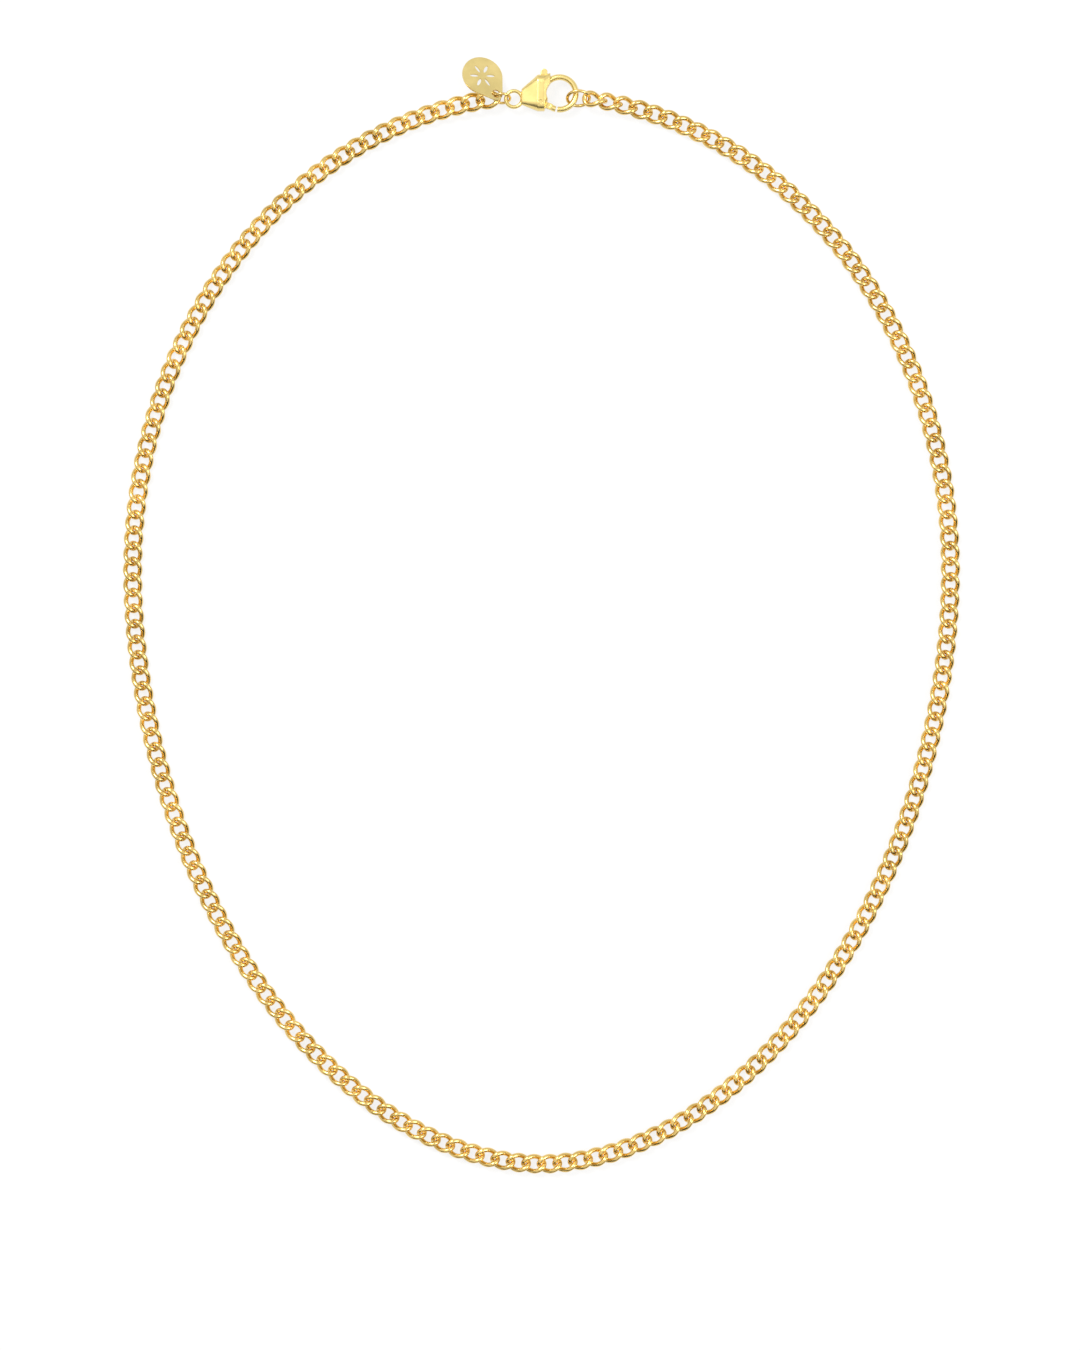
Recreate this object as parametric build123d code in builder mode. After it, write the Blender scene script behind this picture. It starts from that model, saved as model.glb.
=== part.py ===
"""Gold curb-chain necklace with a lobster-claw clasp, closed and laid flat as a loop.

The loop lies in the XY plane with the clasp at +Y, and +Z is up from the table it rests on. Millimetres.
"""

from build123d import *
import os
from math import acos, atan2, ceil, cos, degrees, hypot, pi, radians, sin

# ---- chain: links of round wire, each an oval twisted so that its neighbours lie flat beside it ----
link_count = 184
links_per_segment = 4  # links that one chain segment holds
wire_d = 0.73
link_width = 2.98  # over the wire
link_pitch = 2.36
link_play = 0.10  # free gap where two links hook into each other
end_twist = 54.0  # turn of each link end about the chain's line
strand_slope = 40.0  # climb of a link's side strands at their middle
strand_share = 0.8  # length of the side arc's tangents over the end arc's

# ---- loop: half an ellipse above the widest line, a slightly pointed curve below it ----
loop_width = 123.7  # between the chain's centrelines
loop_rise = 71.9  # from the widest line up to the top of the curve
drop_exponent = 1.9  # 2 would be an ellipse
ramp_links = 6  # links over which the chain climbs to the clasp's height

# ---- clasp: a cast claw, its sizes measured from the middle of its eye ----
clasp_thickness = 3.2
eye_r = 1.22  # to the middle of the eye's rim
eye_rim_w = 0.58
eye_rim_t = 0.75
hook_x, hook_y = 6.90, 0.85  # middle of the round that the hook follows
hook_r = 2.45  # to the middle of the hook's wire
hook_w = 0.90
hook_t = 1.30
hook_root, hook_tip = 165.0, -98.0  # angles round the hook
neck_x = 1.15
neck_low, neck_high = -0.86, 1.50
neck_t = 1.20
neck_edge_r = 0.50
belly_x = 3.60
belly_length = 1.00
belly_low, belly_high = -1.83, 3.65
belly_edge_r = 1.20
shoulder_length = 0.90
shoulder_low, shoulder_high = 1.00, 3.85
shoulder_t = 2.40

# ---- lever of the clasp: boss, shank with thumb tab, and gate ----
lever_t = 1.00
slot_gap = 0.06  # between the lever and each cheek of the body
swing_gap = 0.12  # between the swinging lever and the end of its slot
pin_d = 0.60
pin_gap = 0.03
pin_inset = 0.05  # of the pin's ends below the cheeks
pin_x, pin_y = 4.00, -0.60
boss_r = 0.72
shank_w = 1.02
tab_x, tab_top = 4.56, 4.55
arm_w = 0.90
gate_start, gate_end = 236.0, 255.5
gate_w = 0.90
gate_t = 1.20
lever_swing = 26.0  # how far the lever turns to open the gate
spring_t = 0.12
spring_w = 0.80
spring_gap = 0.03
spring_bend_r = 0.14
spring_foot, spring_head = 1.05, 2.20  # distances of the spring's ends from the pin

# ---- rings and tag ----
jump_ring_r = 1.19  # to the middle of its wire
jump_wire_d = 0.42
jump_tilt = 60.0  # how far the ring stands up from flat
end_ring_r = 1.675
end_wire_d = 0.49
end_tilt = 54.0
ring_play = 0.12  # free gap where the jump ring hooks into the eye
end_play = 0.14  # free gap where the first right link hooks into the end ring
hook_slack = 0.45  # free gap between the end ring and the hook
first_roll = 45.0  # turn of the link beside the end ring, which fades over the next links
roll_links = 3
pull_rise = 0.10  # the chain's pull line above the middle of the eye
tag_r = 3.12
tag_t = 0.30
tag_ear_r = 1.00
tag_hole_r = 0.68
tag_reach = 3.55  # from the tag's hole to the middle of its disc
tag_angle = 140.0  # where the tag hangs on the jump ring, round from the clasp side
tag_bearing = 126.0  # plan direction from the hole to the disc
tag_lean = 9.0  # how far the tag slopes down away from the ring
tag_bank = 26.0  # how far it tips down on its outer side
tag_lift = 0.17  # of the hole's middle above the ring's wire
tag_slide = 0.10  # of the hole's middle along the tag, away from the ring's wire
petal_count = 6
petal_length, petal_w = 1.35, 0.46
petal_ring_r = 1.28

PARTS = "parts"
os.makedirs(PARTS, exist_ok=True)

wire_r = wire_d / 2
link_a = (link_pitch + link_play) / 2 + wire_r  # half length along the wire's middle
link_b = link_width / 2 - wire_r  # half width along the wire's middle


def save(part, name):
    """Label a finished sub-part and write it to its own STEP file."""
    part.label = name
    export_step(part, f"{PARTS}/{name}.step")


def bisect(too_low, low, high, steps=60):
    """The value between low and high where too_low stops being true."""
    for _ in range(steps):
        middle = (low + high) / 2
        low, high = (middle, high) if too_low(middle) else (low, middle)
    return (low + high) / 2


# ---- one link, from four pairs of tangent arcs ----
link_end = Vector(link_a, 0, 0)
link_side = Vector(0, link_b, 0)
end_tangent = Vector(0, cos(radians(end_twist)), -sin(radians(end_twist)))
side_tangent = Vector(-cos(radians(strand_slope)), 0, sin(radians(strand_slope)))


def corner_gap(reach):
    """The run between the two arcs' corners, for end-arc tangents of the given length."""
    return (link_side - side_tangent * (strand_share * reach)) - (link_end + end_tangent * reach)


end_reach = bisect(lambda reach: corner_gap(reach).length > (1 + strand_share) * reach, 0, link_width)
corner_run = corner_gap(end_reach)
arcs_meet = link_end + end_tangent * end_reach + corner_run * (1 / (1 + strand_share))

with BuildPart() as link:
    with BuildLine() as half_link:
        TangentArc(link_end, arcs_meet, tangent=end_tangent)
        TangentArc(arcs_meet, link_side, tangent=corner_run)
        add(Rotation(0, 180, 0) * half_link.line)
    with BuildSketch(Plane(origin=link_end, x_dir=(1, 0, 0), z_dir=end_tangent)):
        Circle(wire_r)
    sweep(path=half_link.wire())
    with Locations(Rotation(0, 0, 180)):
        add(link.part)

link_half_t = link.part.bounding_box().max.Z
chain_z = link_half_t  # the flat chain lies on the table
clasp_z = clasp_thickness / 2

# ---- pull line: the clasp, rings and chain ends hook into each other along it ----
hook_wall_r = hook_r - hook_w / 2
jump_hole_r = jump_ring_r - jump_wire_d / 2
end_hole_r = end_ring_r - end_wire_d / 2
jump_x = -(eye_r - eye_rim_w / 2) + ring_play - jump_hole_r
left_x = jump_x - jump_hole_r + link_play / 2
hook_wall_x = hook_x + (hook_wall_r**2 - (hook_y - pull_rise) ** 2) ** 0.5
end_x = hook_wall_x - hook_slack + end_hole_r
right_x = end_x + end_hole_r - end_play + link_play / 2
half_gap = (right_x - left_x) / 2  # of the loop, between the two chain ends
eye_x = -(left_x + right_x) / 2


# ---- loop: the chain's joints, at equal steps along the curve ----
def loop_point(angle, drop):
    """A point of the loop's centreline, from the widest line's middle; angles as on a circle."""
    c, s = cos(angle), sin(angle)
    if s >= 0:
        return loop_width / 2 * c, loop_rise * s
    power = 2 / drop_exponent
    side = 1 if c > 0 else -1
    return loop_width / 2 * side * abs(c) ** power, -drop * abs(s) ** power


left_angle = acos(-half_gap / (loop_width / 2))
right_angle = 2 * pi + pi - left_angle


def loop_joints(drop):
    """The angles of the chain's joints, each one link pitch from the one before."""
    angles = [left_angle]
    for _ in range(link_count):
        x, y = loop_point(angles[-1], drop)

        def nearer(angle):
            px, py = loop_point(angle, drop)
            return hypot(px - x, py - y) < link_pitch

        angles.append(bisect(nearer, angles[-1], angles[-1] + pi / 2, 40))
    return angles


loop_drop = bisect(lambda drop: loop_joints(drop)[-1] > right_angle, loop_rise / 4, 3 * loop_rise, 24)
line_y = loop_point(left_angle, loop_drop)[1]
hang_y = jump_ring_r * sin(radians(tag_angle)) * cos(radians(jump_tilt))
tag_top = line_y + hang_y + (tag_reach + tag_slide) * sin(radians(tag_bearing)) + tag_r
pull_y = line_y + (loop_drop + link_width / 2 - tag_top) / 2  # the origin is under the middle of the whole
clasp_plane = Plane(origin=(eye_x, pull_y - pull_rise, clasp_z))


def joint_height(index):
    """Height of a chain joint: flat on the table, climbing to the clasp near both ends."""
    away = min(index, link_count - index) / ramp_links
    share = 0.5 + 0.5 * cos(pi * min(away, 1))
    return chain_z + (clasp_z - chain_z) * share


joints = [
    Vector(x, y + pull_y - line_y, joint_height(i))
    for i, (x, y) in enumerate(loop_point(angle, loop_drop) for angle in loop_joints(loop_drop))
]


def link_plane(index):
    """The plane of a link: X along the chain, Z up, rolled near the end ring."""
    start, finish = joints[index], joints[index + 1]
    along = (finish - start).normalized()
    across = Vector(0, 0, 1).cross(along).normalized()
    roll = first_roll * max(0, 1 - (link_count - 1 - index) / roll_links)
    up = along.cross(across).rotate(Axis((0, 0, 0), along), roll)
    return Plane(origin=(start + finish) * 0.5, x_dir=along, z_dir=up)


def chain_segment(name, indices):
    """A run of links as one sub-part of separate solids."""
    with BuildPart() as segment:
        with Locations(*[link_plane(index).location for index in indices]):
            add(link.part)
    save(segment.part, name)


left_links = list(range(link_count // 2))
right_links = list(range(link_count - 1, link_count // 2 - 1, -1))
for side_name, side_links in (("left", left_links), ("right", right_links)):
    for k in range(ceil(len(side_links) / links_per_segment)):
        run = side_links[k * links_per_segment : (k + 1) * links_per_segment]
        chain_segment(f"chain_{side_name}_{k + 1:02d}", run)


# ---- clasp ----
def clasp_at(x, y, z=0.0, x_dir=(1, 0, 0), z_dir=(0, 0, 1)):
    """A plane at a point measured from the middle of the clasp's eye."""
    return Plane(origin=clasp_plane.from_local_coords((x, y, z)), x_dir=x_dir, z_dir=z_dir)


def oval_arc(x, y, radius, start, finish, width, thickness):
    """Oval wire bent round a point of the clasp, from one angle to another."""
    c, s = cos(radians(start)), sin(radians(start))
    with BuildPart() as arc:
        with BuildSketch(clasp_at(x + radius * c, y + radius * s, x_dir=(c, s, 0), z_dir=(-s, c, 0))):
            Ellipse(width / 2, thickness / 2)
        revolve(axis=Axis(clasp_at(x, y).origin, (0, 0, 1)), revolution_arc=finish - start)
    return arc.part


def body_length(start, finish):
    """A length of the clasp's body between two rounded sections: x, low, high, thickness, edge radius."""
    with BuildPart() as length:
        for x, low, high, thickness, edge_r in (start, finish):
            with BuildSketch(clasp_at(x, (low + high) / 2, x_dir=(0, 1, 0), z_dir=(1, 0, 0))):
                RectangleRounded(high - low, thickness, edge_r)
        loft(ruled=True)
    return length.part


def swing_room(x, y, room):
    """What a bar from the pin to a point sweeps as the lever turns, with room on every side."""
    reach = hypot(x - pin_x, y - pin_y)
    start = degrees(atan2(y - pin_y, x - pin_x))
    with BuildPart() as swept:
        with BuildSketch(clasp_at(pin_x, pin_y)):
            with BuildLine():
                arc = CenterArc((0, 0), reach, start, lever_swing)
                Polyline(arc @ 1, (0, 0), arc @ 0)
            make_face()
            offset(amount=room)
        extrude(amount=lever_t / 2 + slot_gap, both=True)
    return swept.part


belly_end = belly_x + belly_length
tab_y = tab_top - shank_w / 2  # middle of the tab's round end
gate_x = hook_x + hook_r * cos(radians(gate_start))
gate_y = hook_y + hook_r * sin(radians(gate_start))
neck = (neck_x, neck_low, neck_high, neck_t, neck_edge_r)
belly_front = (belly_x, belly_low, belly_high, clasp_thickness, belly_edge_r)
belly_back = (belly_end, belly_low, belly_high, clasp_thickness, belly_edge_r)
shoulder = (belly_end + shoulder_length, shoulder_low, shoulder_high, shoulder_t, neck_edge_r)

with BuildPart() as clasp_body:
    add(body_length(neck, belly_front))
    add(body_length(belly_front, belly_back))
    add(body_length(belly_back, shoulder))
    with BuildSketch(clasp_at(hook_x, hook_y)):
        Circle(hook_wall_r)
    extrude(amount=clasp_thickness, both=True, mode=Mode.SUBTRACT)
    add(oval_arc(hook_x, hook_y, hook_r, hook_tip, hook_root, hook_w, hook_t))
    add(oval_arc(0, 0, eye_r, 0, 360, eye_rim_w, eye_rim_t))
    add(swing_room(tab_x, tab_y, shank_w / 2 + swing_gap), mode=Mode.SUBTRACT)
    add(swing_room(gate_x, gate_y, arm_w / 2 + swing_gap), mode=Mode.SUBTRACT)
    with BuildSketch(clasp_at(pin_x, pin_y)):
        Circle(boss_r + swing_gap)
    extrude(amount=lever_t / 2 + slot_gap, both=True, mode=Mode.SUBTRACT)
    with BuildSketch(clasp_at(pin_x, pin_y)):
        Circle(pin_d / 2)
    extrude(amount=clasp_thickness, both=True, mode=Mode.SUBTRACT)
save(clasp_body.part, "clasp_body")

with BuildPart() as clasp_lever:
    with BuildSketch(clasp_at(pin_x, pin_y)):
        Circle(boss_r)
        for bar_x, bar_y, width in ((tab_x, tab_y, shank_w), (gate_x, gate_y, arm_w)):
            end = Vector(bar_x - pin_x, bar_y - pin_y)
            SlotCenterPoint(end / 2, end, width)
    extrude(amount=lever_t / 2, both=True)
    add(oval_arc(hook_x, hook_y, hook_r, gate_start, gate_end, gate_w, gate_t))
    with BuildSketch(clasp_at(pin_x, pin_y)):
        Circle(pin_d / 2 + pin_gap)
    extrude(amount=clasp_thickness, both=True, mode=Mode.SUBTRACT)
save(clasp_lever.part, "clasp_lever")

with BuildPart() as clasp_pin:
    with BuildSketch(clasp_at(pin_x, pin_y)):
        Circle(pin_d / 2)
    extrude(amount=clasp_thickness / 2 - pin_inset, both=True)
save(clasp_pin.part, "clasp_pin")


def beside_bar(distance, angle, offset_left):
    """A point beside the ray from the pin at an angle, at a distance along it."""
    along = Vector(distance, offset_left)
    return along.rotate(Axis.Z, angle)


shank_angle = degrees(atan2(tab_y - pin_y, tab_x - pin_x))
shank_side = shank_w / 2 + spring_gap + spring_t / 2
wall_side = shank_w / 2 + swing_gap - spring_gap - spring_t / 2
with BuildPart() as clasp_spring:
    with BuildSketch(clasp_at(pin_x, pin_y)):
        with BuildLine() as leaf:
            FilletPolyline(
                beside_bar(spring_head, shank_angle + lever_swing, wall_side),
                beside_bar(spring_foot, shank_angle + lever_swing, wall_side),
                beside_bar(spring_foot, shank_angle, shank_side),
                beside_bar(spring_head, shank_angle, shank_side),
                radius=spring_bend_r,
            )
        trace(leaf.line, line_width=spring_t)
    extrude(amount=spring_w / 2, both=True)
save(clasp_spring.part, "clasp_spring")


# ---- rings ----
def wire_ring(x, radius, wire, tilt):
    """A round ring of wire on the pull line, standing up from flat on the loop's outer side."""
    across = Vector(0, cos(radians(tilt)), sin(radians(tilt)))
    centre = clasp_at(x, pull_rise).origin
    with BuildPart() as ring:
        with BuildSketch(Plane(origin=centre + Vector(radius, 0, 0), x_dir=(1, 0, 0), z_dir=across)):
            Circle(wire / 2)
        revolve(axis=Axis(centre, Vector(1, 0, 0).cross(across)))
    return ring.part


save(wire_ring(jump_x, jump_ring_r, jump_wire_d, jump_tilt), "jump_ring")
save(wire_ring(end_x, end_ring_r, end_wire_d, end_tilt), "end_ring")

# ---- tag: a pierced disc with an ear, hung on the jump ring ----
wire_point = clasp_at(
    jump_x + jump_ring_r * cos(radians(tag_angle)),
    pull_rise + jump_ring_r * sin(radians(tag_angle)) * cos(radians(jump_tilt)),
    jump_ring_r * sin(radians(tag_angle)) * sin(radians(jump_tilt)),
).origin
tag_tilt = Rotation(0, 0, tag_bearing) * Rotation(0, tag_lean, 0) * Rotation(tag_bank, 0, 0)
tag_turn = Plane(tag_tilt)
tag_along, tag_up = tag_turn.x_dir, tag_turn.z_dir
hole_at = wire_point + tag_along * tag_slide + tag_up * tag_lift

with BuildPart() as tag:
    with BuildSketch(Plane(origin=hole_at, x_dir=tag_along, z_dir=tag_up)):
        Circle(tag_ear_r)
        with Locations((tag_reach, 0)):
            Circle(tag_r)
        make_hull()
        Circle(tag_hole_r, mode=Mode.SUBTRACT)
        with Locations((tag_reach, 0)):
            with PolarLocations(petal_ring_r, petal_count):
                Ellipse(petal_length / 2, petal_w / 2, mode=Mode.SUBTRACT)
    extrude(amount=tag_t / 2, both=True)
save(tag.part, "tag")
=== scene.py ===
"""Gold curb-chain necklace with a lobster-claw clasp, laid flat on a white table. Metres."""

from math import atan, cos, pi, radians, sin

import bmesh
import bpy
from mathutils import Euler, Matrix, Vector


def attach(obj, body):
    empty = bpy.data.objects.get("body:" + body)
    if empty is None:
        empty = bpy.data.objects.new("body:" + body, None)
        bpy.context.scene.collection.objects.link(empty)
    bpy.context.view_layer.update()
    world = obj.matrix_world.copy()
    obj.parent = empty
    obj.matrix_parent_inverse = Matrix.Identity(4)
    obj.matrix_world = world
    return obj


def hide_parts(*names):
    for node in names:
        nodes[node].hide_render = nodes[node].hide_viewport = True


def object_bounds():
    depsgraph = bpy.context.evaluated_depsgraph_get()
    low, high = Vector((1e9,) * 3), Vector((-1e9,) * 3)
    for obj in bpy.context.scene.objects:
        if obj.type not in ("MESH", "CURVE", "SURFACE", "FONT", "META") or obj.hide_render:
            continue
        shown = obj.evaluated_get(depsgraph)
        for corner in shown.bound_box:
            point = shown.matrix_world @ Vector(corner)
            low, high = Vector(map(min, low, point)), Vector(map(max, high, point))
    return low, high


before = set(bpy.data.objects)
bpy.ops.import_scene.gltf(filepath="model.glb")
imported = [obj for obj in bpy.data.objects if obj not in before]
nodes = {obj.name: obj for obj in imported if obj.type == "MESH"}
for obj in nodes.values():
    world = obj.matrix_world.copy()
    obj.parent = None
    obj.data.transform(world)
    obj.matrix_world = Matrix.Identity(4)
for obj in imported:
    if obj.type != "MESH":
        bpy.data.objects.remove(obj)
cad_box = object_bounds()
chain_nodes = [name for name in nodes if name.startswith("chain_")]

# ---- view: straight down on the loop, with more table below it than above ----
view_height = 0.2044
below_chain = 0.0268
focal_mm, sensor_mm = 135.0, 36.0

# ---- finishes ----
polished = (0.82, 0.58, 0.20)
satin = (0.84, 0.66, 0.25)
matt = (0.78, 0.63, 0.26)
steel = (0.55, 0.56, 0.58)


class Socket:
    """A shader socket that does arithmetic by adding Math nodes."""

    def __init__(self, tree, value):
        self.tree, self.value = tree, value

    def maths(self, operation, other=0.0, swap=False):
        pair = (other, self) if swap else (self, other)
        return self.tree.node("ShaderNodeMath", {"operation": operation}, {0: pair[0], 1: pair[1]})

    def __add__(self, other): return self.maths("ADD", other)
    def __radd__(self, other): return self.maths("ADD", other)
    def __sub__(self, other): return self.maths("SUBTRACT", other)
    def __rsub__(self, other): return self.maths("SUBTRACT", other, swap=True)
    def __mul__(self, other): return self.maths("MULTIPLY", other)
    def __rmul__(self, other): return self.maths("MULTIPLY", other)


class Shader:
    """A node tree of a material or the world, filled node by node."""

    def __init__(self, owner):
        owner.use_nodes = True
        self.nodes, self.links = owner.node_tree.nodes, owner.node_tree.links
        self.nodes.clear()

    def node(self, kind, settings=None, inputs=None, output=0):
        made = self.nodes.new(kind)
        for name, value in (settings or {}).items():
            if name == "stops":
                ramp = made.color_ramp.elements
                while len(ramp) < len(value):
                    ramp.new(0.5)
                for stop, (place, colour) in zip(ramp, value):
                    stop.position, stop.color = place, (*colour, 1)
            else:
                setattr(made, name, value)
        for name, value in (inputs or {}).items():
            if isinstance(value, Socket):
                self.links.new(value.value, made.inputs[name])
            elif isinstance(value, tuple) and len(value) == 3 and made.inputs[name].type == "RGBA":
                made.inputs[name].default_value = (*value, 1)
            else:
                made.inputs[name].default_value = value
        return Socket(self, made.outputs[output]) if made.outputs else None


def gold(name, colour, roughness, grain, grain_height, wear=0.12):
    """Metal with fine grain, soft changes of sheen and colour, and slightly paler worn patches."""
    material = bpy.data.materials.new(name)
    tree = Shader(material)
    place = tree.node("ShaderNodeTexCoord", output=3)
    broad = tree.node("ShaderNodeTexNoise", {}, {"Vector": place, "Scale": 260.0, "Detail": 3.0})
    fine = tree.node("ShaderNodeTexNoise", {}, {"Vector": place, "Scale": grain, "Detail": 4.0, "Roughness": 0.7})
    pale = tuple(min(1.0, c * 1.10 + 0.03) for c in colour)
    deep = tuple(c * 0.88 for c in colour)
    tone = tree.node("ShaderNodeValToRGB", {"stops": [(0.30, deep), (0.52, colour), (0.75, pale)]}, {"Fac": broad})
    bump = tree.node("ShaderNodeBump", {}, {"Height": fine, "Strength": 0.35, "Distance": grain_height})
    surface = tree.node(
        "ShaderNodeBsdfPrincipled",
        {},
        {
            "Base Color": tone,
            "Metallic": 1.0,
            "Roughness": broad * wear + fine * (wear * 0.6) + (roughness - wear * 0.8),
            "Normal": bump,
        },
    )
    tree.node("ShaderNodeOutputMaterial", {}, {"Surface": surface})
    return material


def paint(piece, material):
    """Gives every material slot of a piece one finish."""
    if not piece.material_slots:
        piece.data.materials.append(material)
    for slot in piece.material_slots:
        slot.material = material


chain_gold = gold("polished_chain_gold", polished, 0.17, 5200.0, 0.000004)
ring_gold = gold("polished_wire_gold", polished, 0.16, 5200.0, 0.000004)
clasp_gold = gold("satin_clasp_gold", satin, 0.30, 9000.0, 0.000006)
tag_gold = gold("matt_tag_gold", matt, 0.42, 12000.0, 0.000008)
spring_steel = gold("spring_steel", steel, 0.25, 6000.0, 0.000003)

for name in chain_nodes:
    paint(nodes[name], chain_gold)
for name in ("jump_ring", "end_ring"):
    paint(nodes[name], ring_gold)
for name in ("clasp_body", "clasp_lever", "clasp_pin"):
    paint(nodes[name], clasp_gold)
paint(nodes["tag"], tag_gold)
paint(nodes["clasp_spring"], spring_steel)


# ---- cast and tumbled pieces: the solids with their corners rounded over ----
def tumbled(node, body, material, grain, rounds):
    """A copy of a node's solid, remeshed finely and rubbed smooth, as tumbling leaves a casting."""
    mesh = nodes[node].data.copy()
    piece = bpy.data.objects.new("tumbled_" + node, mesh)
    bpy.context.scene.collection.objects.link(piece)
    shell = bmesh.new()
    shell.from_mesh(mesh)
    bmesh.ops.remove_doubles(shell, verts=shell.verts, dist=1e-6)
    shell.to_mesh(mesh)
    shell.free()
    remesh = piece.modifiers.new("remesh", "REMESH")
    remesh.mode, remesh.voxel_size, remesh.use_smooth_shade = "VOXEL", grain, True
    smooth = piece.modifiers.new("smooth", "SMOOTH")
    smooth.factor, smooth.iterations = 0.5, rounds
    shown = piece.evaluated_get(bpy.context.evaluated_depsgraph_get())
    piece.data = bpy.data.meshes.new_from_object(shown)
    piece.modifiers.clear()
    piece.data.materials.clear()
    paint(piece, material)
    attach(piece, body)
    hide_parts(node)
    return piece


tumbled("clasp_body", "clasp", clasp_gold, 0.00006, 8)
tumbled("clasp_lever", "lever", clasp_gold, 0.00004, 5)


# ---- table, light and camera ----
def lay_table():
    """A white table top, which shows pure white to the eye and in the metal, and takes a faint shadow."""
    mesh = bpy.data.meshes.new("table_top")
    reach = 1.5
    mesh.from_pydata([(-reach, -reach, 0), (reach, -reach, 0), (reach, reach, 0), (-reach, reach, 0)], [], [(0, 1, 2, 3)])
    table = bpy.data.objects.new("table_top", mesh)
    table.location.z = -0.00002
    bpy.context.scene.collection.objects.link(table)
    material = bpy.data.materials.new("white_table")
    tree = Shader(material)
    ray = tree.node("ShaderNodeLightPath")
    glossy = tree.node("ShaderNodeLightPath", output="Is Glossy Ray")
    plain = tree.node("ShaderNodeBsdfDiffuse", {}, {"Color": (0.85, 0.85, 0.85)})
    white = tree.node("ShaderNodeEmission", {}, {"Color": (1.0, 1.0, 1.0), "Strength": 1.0})
    seen = tree.node("ShaderNodeMath", {"operation": "MAXIMUM"}, {0: ray, 1: glossy})
    surface = tree.node("ShaderNodeMixShader", {}, {0: seen * 0.8, 1: plain, 2: white})
    tree.node("ShaderNodeOutputMaterial", {}, {"Surface": surface})
    paint(table, material)


def light_tent():
    """A bright tent that is dark low down on the near side, so that polished metal shows black accents."""
    world = bpy.data.worlds.new("tent")
    bpy.context.scene.world = world
    tree = Shader(world)
    way = tree.node("ShaderNodeTexCoord")
    parts = tree.nodes.new("ShaderNodeSeparateXYZ")
    tree.links.new(way.value, parts.inputs[0])
    y, z = Socket(tree, parts.outputs[1]), Socket(tree, parts.outputs[2])
    near = tree.node("ShaderNodeMapRange", {"interpolation_type": "SMOOTHSTEP"}, {0: y, 1: -0.15, 2: -0.55, 3: 0.0, 4: 1.0})
    low = tree.node("ShaderNodeMapRange", {"interpolation_type": "SMOOTHSTEP"}, {0: z, 1: 0.62, 2: 0.42, 3: 0.0, 4: 1.0})
    rim = tree.node("ShaderNodeMapRange", {"interpolation_type": "SMOOTHSTEP"}, {0: z, 1: 0.30, 2: 0.12, 3: 0.0, 4: 1.0})
    dark = tree.node("ShaderNodeMath", {"operation": "MAXIMUM"}, {0: near * low * 0.95, 1: rim * 0.55})
    glow = tree.node("ShaderNodeBackground", {}, {"Color": (1.0, 0.99, 0.97), "Strength": (1.0 - dark) * 0.95})
    tree.node("ShaderNodeOutputWorld", {}, {"Surface": glow})


def soft_lamp(name, place, size, power):
    """A square area lamp that faces the loop's middle."""
    lamp = bpy.data.lights.new(name, "AREA")
    lamp.size, lamp.energy = size, power
    holder = bpy.data.objects.new(name, lamp)
    holder.location = place
    holder.rotation_euler = (-Vector(place)).to_track_quat("-Z", "Y").to_euler()
    bpy.context.scene.collection.objects.link(holder)


def set_camera():
    """Looks straight down, framed on the loop."""
    lens = bpy.data.cameras.new("camera")
    lens.lens, lens.sensor_width, lens.sensor_fit = focal_mm, sensor_mm, "AUTO"
    camera = bpy.data.objects.new("camera", lens)
    low = cad_box[0]
    centre_y = low[1] - below_chain + view_height / 2
    camera.location = (-0.00024, centre_y, view_height * focal_mm / sensor_mm)
    lens.clip_start, lens.clip_end = 0.01, 10.0
    bpy.context.scene.collection.objects.link(camera)
    bpy.context.scene.camera = camera


set_camera()
lay_table()
light_tent()
soft_lamp("key_lamp", (-0.35, 0.45, 0.75), 0.35, 5.0)
soft_lamp("fill_lamp", (0.5, -0.1, 0.6), 0.30, 2.0)
bpy.context.scene.view_settings.view_transform = "Standard"
